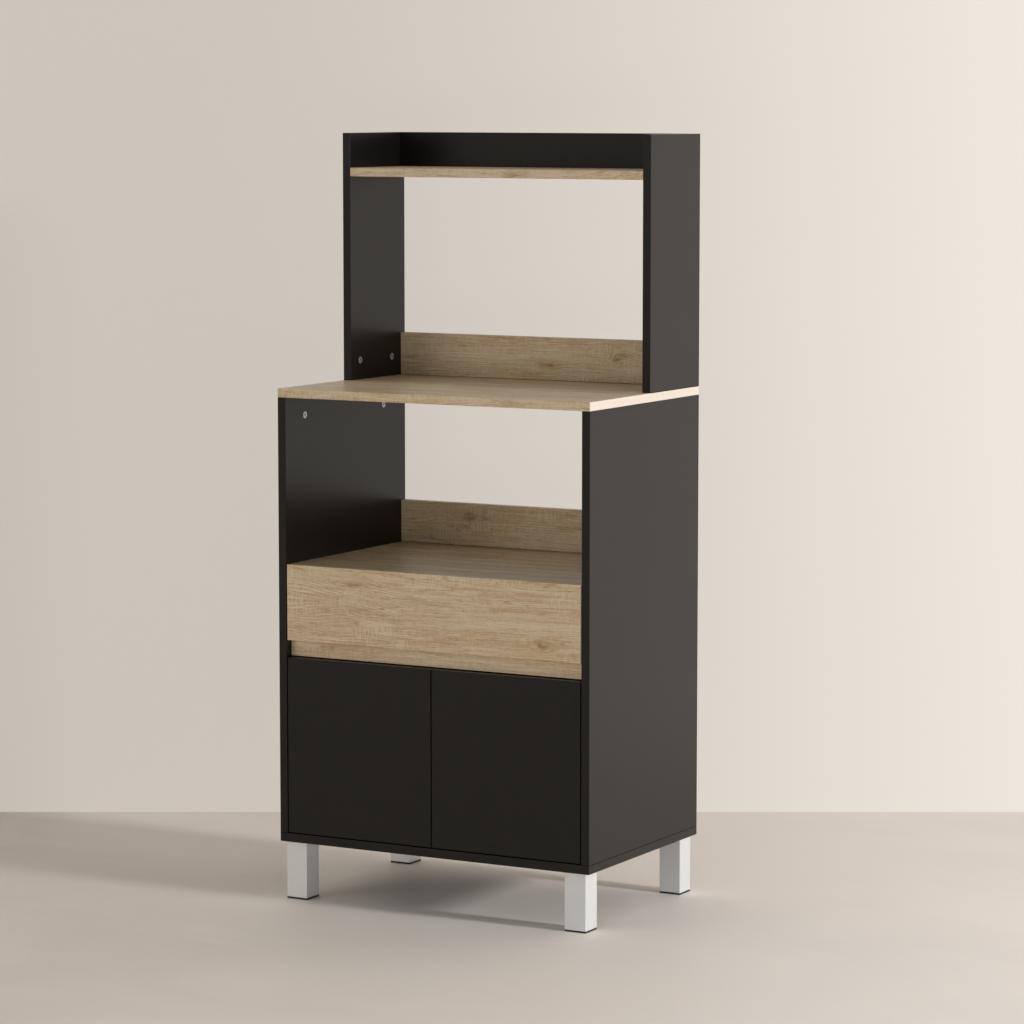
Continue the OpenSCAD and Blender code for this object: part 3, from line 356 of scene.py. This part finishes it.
def bright_metal(name, pale, dark, rough, cell, metallic=1.0):
    """Zinc or nickel surface: uneven tone, fine scratches and a mottled sheen."""
    g = Graph(name)
    place = g.coords.outputs["Object"]
    mottle = g.noise(place, cell, detail=4, roughness=0.65)
    scratch = g.noise(g.stretched(place, (300, 300, 2600)), detail=2)
    # painted shade: recesses, such as a cross slot, are darkened to a dull tone by an ambient-occlusion
    # measure
    open_share = g.add("ShaderNodeAmbientOcclusion", {"Distance": METAL_SHADE_REACH},
                       only_local=True, samples=6).outputs["AO"]
    colour = g.blend(g.steps(mottle, 0.38, 0.66), dark, pale)
    colour = g.blend(g.steps(open_share, 0.90, 0.40, 0.0, 0.95), colour, METAL_PAINTED_SHADE)
    sheen = g.maths("MULTIPLY_ADD", scratch, 0.10, g.steps(mottle, 0.3, 0.7, rough - 0.06, rough + 0.06))
    return g.shade(Base_Color=colour, Metallic=metallic, Roughness=sheen,
                   Normal=g.bump(scratch, 0.03 * MM, 0.3))


# Each oak board is cut from another part of the decor: its offset, and its knots' centres and reaches
OAK_CUTS = {
    "worktop": ((0.31, 0.045, -0.93), [((0.150, -0.195, 0.872), (0.055, 0.030, 0.020))]),
    "microwave_shelf": ((1.10, 0.02, -0.50), [((-0.060, 0.060, 0.580), (0.120, 0.070, 0.030))]),
    "microwave_rear_rail": ((2.35, -0.16, -0.63), [((-0.140, 0.185, 0.630), (0.080, 0.040, 0.024))]),
    "grip_rail": ((3.20, 0.14, -0.45), [((-0.215, -0.180, 0.440), (0.050, 0.040, 0.012))]),
    "drawer_front": ((4.05, 0.23, -0.49), [((0.215, -0.195, 0.475), (0.042, 0.040, 0.020)),
                                           ((-0.150, -0.195, 0.553), (0.060, 0.040, 0.012))]),
    "hutch_shelf": ((5.30, -0.05, -1.30), [((0.040, 0.020, 1.242), (0.050, 0.040, 0.016))]),
    "hutch_rear_rail": ((6.20, -0.15, -0.90), [((0.150, 0.190, 0.925), (0.085, 0.040, 0.032)),
                                               ((0.020, 0.190, 0.905), (0.060, 0.040, 0.016))]),
}

SLOT_MATERIALS = {
    "black_foil_board": black_foil("black_foil"),
    "silver_tube": silver_lacquer("silver_lacquer"),
    "black_plastic": moulded_plastic("black_plastic", PLASTIC_BLACK, PLASTIC_GREY, 0.5),
    "beech": beech("beech"),
    "fibreboard": hardboard("hardboard"),
    "runner_steel": epoxy_steel("white_epoxy"),
    "white_nylon": moulded_plastic("white_nylon", NYLON, NYLON_DULL, 0.4),
    "plated_screws": bright_metal("zinc_plate", SCREW_ZINC, ZINC_DARK, 0.30, 500),
    "zinc_casting": bright_metal("zinc_casting", ZINC, ZINC_DARK, 0.28, 300, metallic=0.45),
    "nickel_plate": bright_metal("nickel_plate", NICKEL, ZINC, 0.24, 120),
}

# painted shade for the joints under the standing boards
PAINTED_JOINT_SHADE = dusty_joint("dusty_joint")


def dress_nodes():
    """Gives each CAD node the material of its slot, and each oak board its own cut."""
    for name, node in nodes.items():
        for slot in node.material_slots:
            kind = slot.material.name.split(".")[0]
            if kind == "oak_foil_board":
                slot.material = oak_foil("oak_" + name, *OAK_CUTS[name])
            else:
                slot.material = SLOT_MATERIALS[kind]


# ---------------------------------------------------------- rounded edges
BOARD_EDGE = 0.7 * MM
TUBE_EDGE = 1.2 * MM
TUBE_SEGMENTS = 3
PAD_EDGE = 0.6 * MM
EDGE_ANGLE = math.radians(50)
BOX_REACH = 0.01 * MM
WELD_REACH = 0.002 * MM
FLAT_ANGLE = math.radians(0.1)


def outer_edges():
    """Node group that marks for the bevel the edges along the box that a board fills."""
    group = bpy.data.node_groups.new("outer_edges", "GeometryNodeTree")
    group.interface.new_socket("Geometry", in_out="INPUT", socket_type="NodeSocketGeometry")
    group.interface.new_socket("Geometry", in_out="OUTPUT", socket_type="NodeSocketGeometry")

    def add(kind, *inputs, **settings):
        node = group.nodes.new(kind)
        for key, value in settings.items():
            setattr(node, key, value)
        for index, value in enumerate(inputs):
            if isinstance(value, bpy.types.NodeSocket):
                group.links.new(value, node.inputs[index])
            elif value is not None:
                node.inputs[index].default_value = value
        return node

    shape = add("NodeGroupInput").outputs[0]
    box = add("GeometryNodeBoundBox", shape)
    place = add("GeometryNodeInputPosition").outputs[0]
    sides = []
    for corner in (box.outputs["Min"], box.outputs["Max"]):
        gap = add("ShaderNodeVectorMath", place, corner, operation="SUBTRACT").outputs[0]
        sides.append(add("ShaderNodeVectorMath", gap, operation="ABSOLUTE").outputs[0])
    nearest = add("ShaderNodeVectorMath", *sides, operation="MINIMUM").outputs[0]
    split = add("ShaderNodeSeparateXYZ", nearest)
    flush = [add("ShaderNodeMath", split.outputs[axis], BOX_REACH, operation="LESS_THAN").outputs[0]
             for axis in range(3)]
    # an edge of the box is flush with it along two axes
    count = add("ShaderNodeMath", flush[0], flush[1], operation="ADD").outputs[0]
    count = add("ShaderNodeMath", count, flush[2], operation="ADD").outputs[0]
    marked = add("ShaderNodeMath", count, 1.5, operation="GREATER_THAN").outputs[0]
    store = add("GeometryNodeStoreNamedAttribute", shape, data_type="FLOAT", domain="EDGE")
    store.inputs["Name"].default_value = "bevel_weight_edge"
    group.links.new(marked, store.inputs["Value"])
    add("NodeGroupOutput", store.outputs[0])
    return group


def round_edges(node, width, segments=2, marks=None):
    """Rounds a CAD node's sharp or marked edges; the node's own mesh stays as it is."""
    weld = node.modifiers.new("weld", "WELD")
    weld.merge_threshold = WELD_REACH
    if marks:
        flat = node.modifiers.new("flat", "DECIMATE")
        flat.decimate_type = "DISSOLVE"
        flat.angle_limit = FLAT_ANGLE
        node.modifiers.new("marks", "NODES").node_group = marks
    bevel = node.modifiers.new("edges", "BEVEL")
    bevel.width = width
    bevel.segments = segments
    bevel.limit_method = "WEIGHT" if marks else "ANGLE"
    bevel.angle_limit = EDGE_ANGLE
    bevel.use_clamp_overlap = True
    bevel.loop_slide = False
    shading = node.modifiers.new("shading", "WEIGHTED_NORMAL")
    shading.keep_sharp = True


BOARDS = ["side_panel_left", "side_panel_right", "bottom_panel", "worktop", "microwave_shelf",
          "microwave_rear_rail", "grip_rail", "hutch_side_left", "hutch_side_right", "hutch_shelf",
          "hutch_top_rail", "hutch_rear_rail", "drawer_front", "drawer_side_left", "drawer_side_right",
          "drawer_back", "door_left", "door_right"]
TUBES = ["leg_front_left", "leg_front_right", "leg_rear_left", "leg_rear_right"]


def round_all():
    """Rounds the boards, the legs and the pads under them."""
    marks = outer_edges()
    for name in BOARDS:
        round_edges(nodes[name], BOARD_EDGE, marks=marks)
    for name in TUBES:
        round_edges(nodes[name], TUBE_EDGE, TUBE_SEGMENTS)
    round_edges(nodes["foot_pads"], PAD_EDGE)


# ---------------------------------------------- painted shade in the joint under a standing board
STANDING_BOARDS = ["side_panel_left", "side_panel_right", "hutch_side_left", "hutch_side_right",
                   "hutch_rear_rail", "microwave_rear_rail"]
JOINT_HALF_H = 0.52 * MM
JOINT_INSET = 0.07 * MM
JOINT_HOLLOW = 0.15 * MM
JOINT_CORNER = 0.5 * MM
JOINT_CORNER_STEPS = 4


def rounded_outline(low, high, inset):
    """Plan outline of a box pulled in by inset, with rounded corners."""
    radius = JOINT_CORNER
    corners = ((high[0], high[1]), (low[0], high[1]), (low[0], low[1]), (high[0], low[1]))
    points = []
    for turn, (x, y) in enumerate(corners):
        centre_x = x + (inset + radius) * (1 if x == low[0] else -1)
        centre_y = y + (inset + radius) * (1 if y == low[1] else -1)
        for step in range(JOINT_CORNER_STEPS + 1):
            angle = math.radians(90 * (turn + step / JOINT_CORNER_STEPS))
            points.append((centre_x + radius * math.cos(angle), centre_y + radius * math.sin(angle)))
    return points


def joint_shade_strip(name):
    """A fine dark strip of painted shade where a board stands on the next one."""
    low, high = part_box(name)
    # a strip with a hollow rim, as height above the joint and depth of the hollow
    levels = ((-JOINT_HALF_H, 0.0), (0.0, JOINT_HOLLOW), (JOINT_HALF_H, 0.0))
    points = []
    for rise, hollow in levels:
        outline = rounded_outline(low, high, JOINT_INSET + hollow)
        points += [(x, y, low[2] + rise) for x, y in outline]
    count = len(points) // len(levels)
    faces = [tuple(reversed(range(count))), tuple(range(2 * count, 3 * count))]
    for level in (0, count):
        for index in range(count):
            after = (index + 1) % count
            faces.append((level + index, level + after, level + count + after, level + count + index))
    mesh = bpy.data.meshes.new(name + "_joint")
    mesh.from_pydata(points, [], faces)
    mesh.materials.append(PAINTED_JOINT_SHADE)
    piece = bpy.data.objects.new(name + "_joint", mesh)
    bpy.context.scene.collection.objects.link(piece)
    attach(piece, "carcass")


# ------------------------------------------------------------------- stage
FLOOR_TONE = tone(227, 221, 216)
FLOOR_LEFT_SHADED = tone(209, 200, 190)
FLOOR_RIGHT_LIT = tone(238, 232, 227)
WALL_TONE = tone(228, 221, 212)
WALL_LEFT_SHADED = tone(200, 193, 184)
WALL_RIGHT_LIT = tone(248, 242, 235)
BACKDROP_TONE = tone(226, 219, 210)
FLOOR_RUN = 1.1
FLOOR_VEIN_SHARE = 0.5
WALL_RUN = (-0.9, 1.2)
WALL_PLAIN_SHARE = 0.8
WALL_GLOSS_DROP = 0.07
WALL_BEHIND = 0.76
STAGE_HALF_W = 14.0
WALL_H = 7.0
VIEW_YAW = math.radians(28.9966)


def flat_mesh(name, corners):
    mesh = bpy.data.meshes.new(name)
    mesh.from_pydata(corners, [], [tuple(range(len(corners)))])
    piece = bpy.data.objects.new(name, mesh)
    bpy.context.scene.collection.objects.link(piece)
    return piece


def floor_material():
    """Pale floor with faint clouds; painted light makes it paler to the right of the view."""
    g = Graph("stage_floor")
    place = g.coords.outputs["Object"]
    split = g.add("ShaderNodeSeparateXYZ", {0: place})
    across = g.maths("MULTIPLY_ADD", split.outputs[1], math.sin(VIEW_YAW),
                     g.maths("MULTIPLY", split.outputs[0], math.cos(VIEW_YAW)))
    veins = g.noise(g.stretched(place, (2.0, 3.2, 1)), detail=5, roughness=0.6, distortion=0.8)
    # painted light: paler towards the right, where the side light falls
    colour = g.blend(g.steps(across, -FLOOR_RUN, FLOOR_RUN), FLOOR_LEFT_SHADED, FLOOR_RIGHT_LIT)
    colour = g.blend(g.steps(veins, 0.30, 0.72, 0.0, FLOOR_VEIN_SHARE), colour, FLOOR_TONE)
    return g.shade(Base_Color=colour, Roughness=0.55, IOR=1.4)


def wall_material():
    """Plain wall that is seen through from behind; painted light makes it paler to the right."""
    g = Graph("stage_wall")
    back = g.add("ShaderNodeNewGeometry", {}).outputs["Backfacing"]
    rays = g.add("ShaderNodeLightPath", {})
    seen = g.maths("MAXIMUM", rays.outputs["Is Camera Ray"], rays.outputs["Is Glossy Ray"])
    seen = g.maths("MAXIMUM", seen, rays.outputs["Is Transmission Ray"])
    place = g.add("ShaderNodeSeparateXYZ", {0: g.coords.outputs["Object"]})
    # painted light: paler towards the right, where the side light falls
    paler = g.steps(place.outputs[0], *WALL_RUN)
    level = g.maths("MULTIPLY_ADD", rays.outputs["Is Glossy Ray"], -WALL_GLOSS_DROP, 1.0)
    plain = g.add("ShaderNodeEmission", {"Color": g.blend(paler, WALL_LEFT_SHADED, WALL_RIGHT_LIT), "Strength": level})
    plaster = g.add("ShaderNodeBsdfDiffuse", {"Color": WALL_TONE})
    share = g.maths("MULTIPLY", seen, WALL_PLAIN_SHARE)
    front = g.add("ShaderNodeMixShader", {0: share, 1: plaster.outputs[0], 2: plain.outputs[0]})
    clear = g.add("ShaderNodeBsdfTransparent", {})
    mixed = g.add("ShaderNodeMixShader", {0: back, 1: front.outputs[0], 2: clear.outputs[0]})
    g.add("ShaderNodeOutputMaterial", {"Surface": mixed.outputs[0]})
    return g.material


def build_stage():
    away = Vector((-math.sin(VIEW_YAW), math.cos(VIEW_YAW), 0))
    across = Vector((math.cos(VIEW_YAW), math.sin(VIEW_YAW), 0))
    foot = away * WALL_BEHIND
    span = across * STAGE_HALF_W
    up = Vector((0, 0, WALL_H))
    wall = flat_mesh("stage_wall", [foot - span, foot + span, foot + span + up, foot - span + up])
    wall.data.materials.append(wall_material())
    half = STAGE_HALF_W
    corners = [(-half, -half, 0), (half, -half, 0), (half, half, 0), (-half, half, 0)]
    floor = flat_mesh("stage_floor", corners)
    floor.data.materials.append(floor_material())


# ------------------------------------------------------------------- light
ROOM_TINT = (1.0, 0.985, 0.965, 1)
ROOM_LEVEL = 0.355
# place, target, width, height, watts and colour of each lamp
KEY = ((8.4, 0.0, 2.7), (0, 0, 0.5), 0.7, 0.7, 555, (1.0, 0.997, 0.992))
FILL = ((-2.7, -4.3, 1.4), (0, 0, 0.6), 2.6, 2.0, 46, (1.0, 0.985, 0.96))
LOW_FILL = ((2.6, -5.0, 0.5), (0, 0, 0.4), 2.4, 0.8, 44, (1.0, 0.99, 0.975))


def softbox(name, place, target, width, height, watts, colour):
    lamp = bpy.data.lights.new(name, "AREA")
    lamp.shape = "RECTANGLE"
    lamp.size = width
    lamp.size_y = height
    lamp.energy = watts
    lamp.color = colour
    piece = bpy.data.objects.new(name, lamp)
    piece.location = place
    piece.rotation_euler = (Vector(target) - Vector(place)).to_track_quat("-Z", "Y").to_euler()
    bpy.context.scene.collection.objects.link(piece)
    return piece


def build_world():
    """An even room light, which shows as the plain backdrop colour where it is seen or mirrored."""
    world = bpy.data.worlds.new("studio")
    world.use_nodes = True
    tree = world.node_tree
    tree.nodes.clear()
    path = tree.nodes.new("ShaderNodeLightPath")
    room = tree.nodes.new("ShaderNodeBackground")
    room.inputs[0].default_value = ROOM_TINT
    room.inputs[1].default_value = ROOM_LEVEL
    seen = tree.nodes.new("ShaderNodeBackground")
    seen.inputs[0].default_value = BACKDROP_TONE
    seen.inputs[1].default_value = 1.0
    mixed = tree.nodes.new("ShaderNodeMixShader")
    out = tree.nodes.new("ShaderNodeOutputWorld")
    sight = path.outputs["Is Camera Ray"]
    for ray in ("Is Glossy Ray", "Is Transmission Ray"):
        either = tree.nodes.new("ShaderNodeMath")
        either.operation = "MAXIMUM"
        tree.links.new(sight, either.inputs[0])
        tree.links.new(path.outputs[ray], either.inputs[1])
        sight = either.outputs[0]
    tree.links.new(sight, mixed.inputs[0])
    tree.links.new(room.outputs[0], mixed.inputs[1])
    tree.links.new(seen.outputs[0], mixed.inputs[2])
    tree.links.new(mixed.outputs[0], out.inputs[0])
    bpy.context.scene.world = world


def build_lights():
    """A key from the right, where the photograph's shadows come from, and two fills in front."""
    build_world()
    softbox("key", *KEY)
    for fill in (softbox("fill", *FILL), softbox("low", *LOW_FILL)):
        fill.visible_glossy = False


# ------------------------------------------------------------------ camera
CAMERA_PLACE = (3.1771, -5.6523, 1.3799)
CAMERA_DOWN_DEG = 6.2849
CAMERA_LENS = 133.968
CAMERA_SENSOR = 36.0


def build_camera():
    """The photograph's view, with the camera pitched down instead of shifted."""
    data = bpy.data.cameras.new("camera")
    data.sensor_width = CAMERA_SENSOR
    data.lens = CAMERA_LENS
    camera = bpy.data.objects.new("camera", data)
    camera.location = CAMERA_PLACE
    camera.rotation_euler = (math.radians(90 - CAMERA_DOWN_DEG), 0, VIEW_YAW)
    bpy.context.scene.collection.objects.link(camera)
    bpy.context.scene.camera = camera


dress_nodes()
round_all()
# a strip of painted shade in the joint under each standing board
for standing in STANDING_BOARDS:
    joint_shade_strip(standing)
build_stage()
build_lights()
build_camera()
bpy.context.scene.view_settings.view_transform = "Standard"
